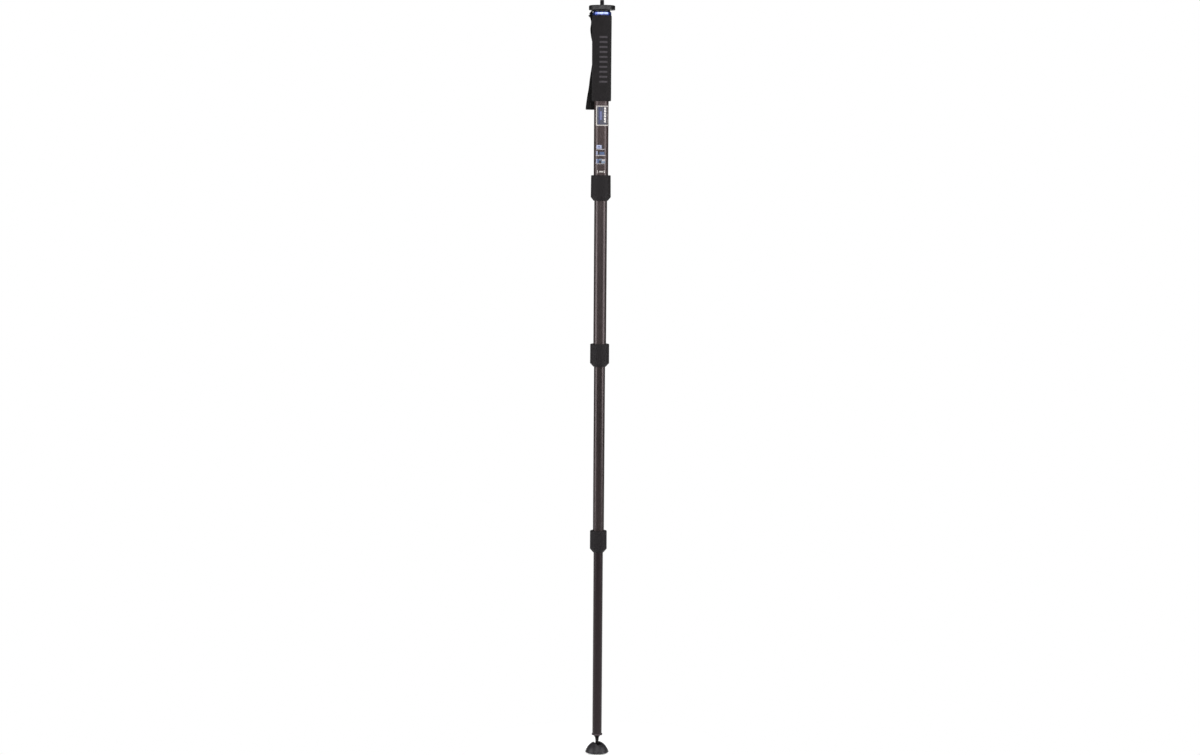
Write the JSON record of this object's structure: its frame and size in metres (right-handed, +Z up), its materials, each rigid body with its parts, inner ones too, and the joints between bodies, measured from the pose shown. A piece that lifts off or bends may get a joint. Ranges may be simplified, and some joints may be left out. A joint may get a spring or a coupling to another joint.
{
  "type": "camera monopod",
  "caption": "Telescoping carbon camera monopod with twist locks, foam grip, screw platform, wrist strap and a ball-jointed rubber foot.",
  "frame": {"origin": "centre of the foot's sole, on the floor, with the monopod pulled out to its full height", "axes": "+Z up along the mast towards the camera screw, -Y to the front, +X to the right"},
  "size_m": [0.0641, 0.0751, 1.697],
  "materials": {
    "screw_metal": "black zinc",
    "black_anodised": "satin black anodised",
    "blue_anodised": "polished blue anodised",
    "pad_rubber": "matt",
    "grip_foam": "matt foam",
    "strap_web": "woven nylon",
    "carbon": "clear-coated carbon fibre",
    "guide_plastic": "natural acetal",
    "collar_metal": "anodised thread",
    "core_nylon": "glass-filled nylon",
    "wiper_rubber": "matt",
    "lock_rubber": "matt moulded",
    "stem_metal": "black anodised",
    "foot_rubber": "satin moulded",
    "sole_rubber": "matt"
  },
  "bodies": {
    "upper_section": {"camera_stud": "screw_metal", "platform": "black_anodised", "platform_pad": "pad_rubber", "platform_grub_screw": "screw_metal", "top_plug": "black_anodised", "accent_ring": "blue_anodised", "foam_grip": "grip_foam", "tube_1": "carbon", "lock_collar_1": "collar_metal", "lock_collet_1": "guide_plastic"},
    "strap_swivel": {"strap_collar": "black_anodised"},
    "strap_loop": {"strap_webbing": "strap_web"},
    "section_2": {"tube_2": "carbon", "guide_shims_2": "guide_plastic", "lock_collar_2": "collar_metal", "lock_collet_2": "guide_plastic"},
    "section_3": {"tube_3": "carbon", "guide_shims_3": "guide_plastic", "lock_collar_3": "collar_metal", "lock_collet_3": "guide_plastic"},
    "section_4": {"tube_4": "carbon", "guide_shims_4": "guide_plastic", "foot_plug": "black_anodised"},
    "foot_stem": {"ball_stem": "stem_metal", "thrust_washer": "guide_plastic", "stem_clip": "screw_metal"},
    "foot_liner": {"socket_liner": "guide_plastic"},
    "foot": {"foot_dome": "foot_rubber", "foot_core": "core_nylon", "core_plug": "core_nylon", "sole_pad": "sole_rubber"},
    "lock_1": {"lock_nut_1": "core_nylon", "lock_wiper_1": "wiper_rubber", "lock_sleeve_1": "lock_rubber"},
    "lock_2": {"lock_nut_2": "core_nylon", "lock_wiper_2": "wiper_rubber", "lock_sleeve_2": "lock_rubber"},
    "lock_3": {"lock_nut_3": "core_nylon", "lock_wiper_3": "wiper_rubber", "lock_sleeve_3": "lock_rubber"}
  },
  "joints": [
    {"name": "lock_1_turn", "type": "hinge", "parent": "upper_section", "child": "lock_1", "pos_m": [0, 0, 1.28165], "axis": [0, 0, 1], "range_deg": [0, 130]},
    {"name": "lock_2_turn", "type": "hinge", "parent": "section_2", "child": "lock_2", "pos_m": [0, 0, 0.90735], "axis": [0, 0, 1], "range_deg": [0, 130]},
    {"name": "lock_3_turn", "type": "hinge", "parent": "section_3", "child": "lock_3", "pos_m": [0, 0, 0.48515], "axis": [0, 0, 1], "range_deg": [0, 130]},
    {"name": "section_2_slide", "type": "slide", "parent": "upper_section", "child": "section_2", "axis": [0, 0, 1], "range_m": [0, 0.318]},
    {"name": "section_3_slide", "type": "slide", "parent": "section_2", "child": "section_3", "axis": [0, 0, 1], "range_m": [0, 0.3695]},
    {"name": "section_4_slide", "type": "slide", "parent": "section_3", "child": "section_4", "axis": [0, 0, 1], "range_m": [0, 0.415]},
    {"name": "strap_collar_turn", "type": "hinge", "parent": "upper_section", "child": "strap_swivel", "pos_m": [0, 0, 1.67285], "axis": [0, 0, 1], "continuous": true},
    {"name": "strap_swing", "type": "hinge", "parent": "strap_swivel", "child": "strap_loop", "pos_m": [-0.01268, 0.02384, 1.6674], "axis": [0.8829, 0.4695, 0], "range_deg": [0, 75]},
    {"name": "foot_turn", "type": "hinge", "parent": "section_4", "child": "foot_stem", "pos_m": [0, 0, 0.04], "axis": [0, 0, 1], "continuous": true},
    {"name": "foot_rock", "type": "hinge", "parent": "foot_stem", "child": "foot_liner", "pos_m": [0, 0, 0.012], "axis": [-0.4226, 0.9063, 0], "range_deg": [-10, 10]},
    {"name": "foot_tilt", "type": "hinge", "parent": "foot_liner", "child": "foot", "pos_m": [0, 0, 0.012], "axis": [0.9063, 0.4226, 0], "range_deg": [-35, 35]}
  ]
}
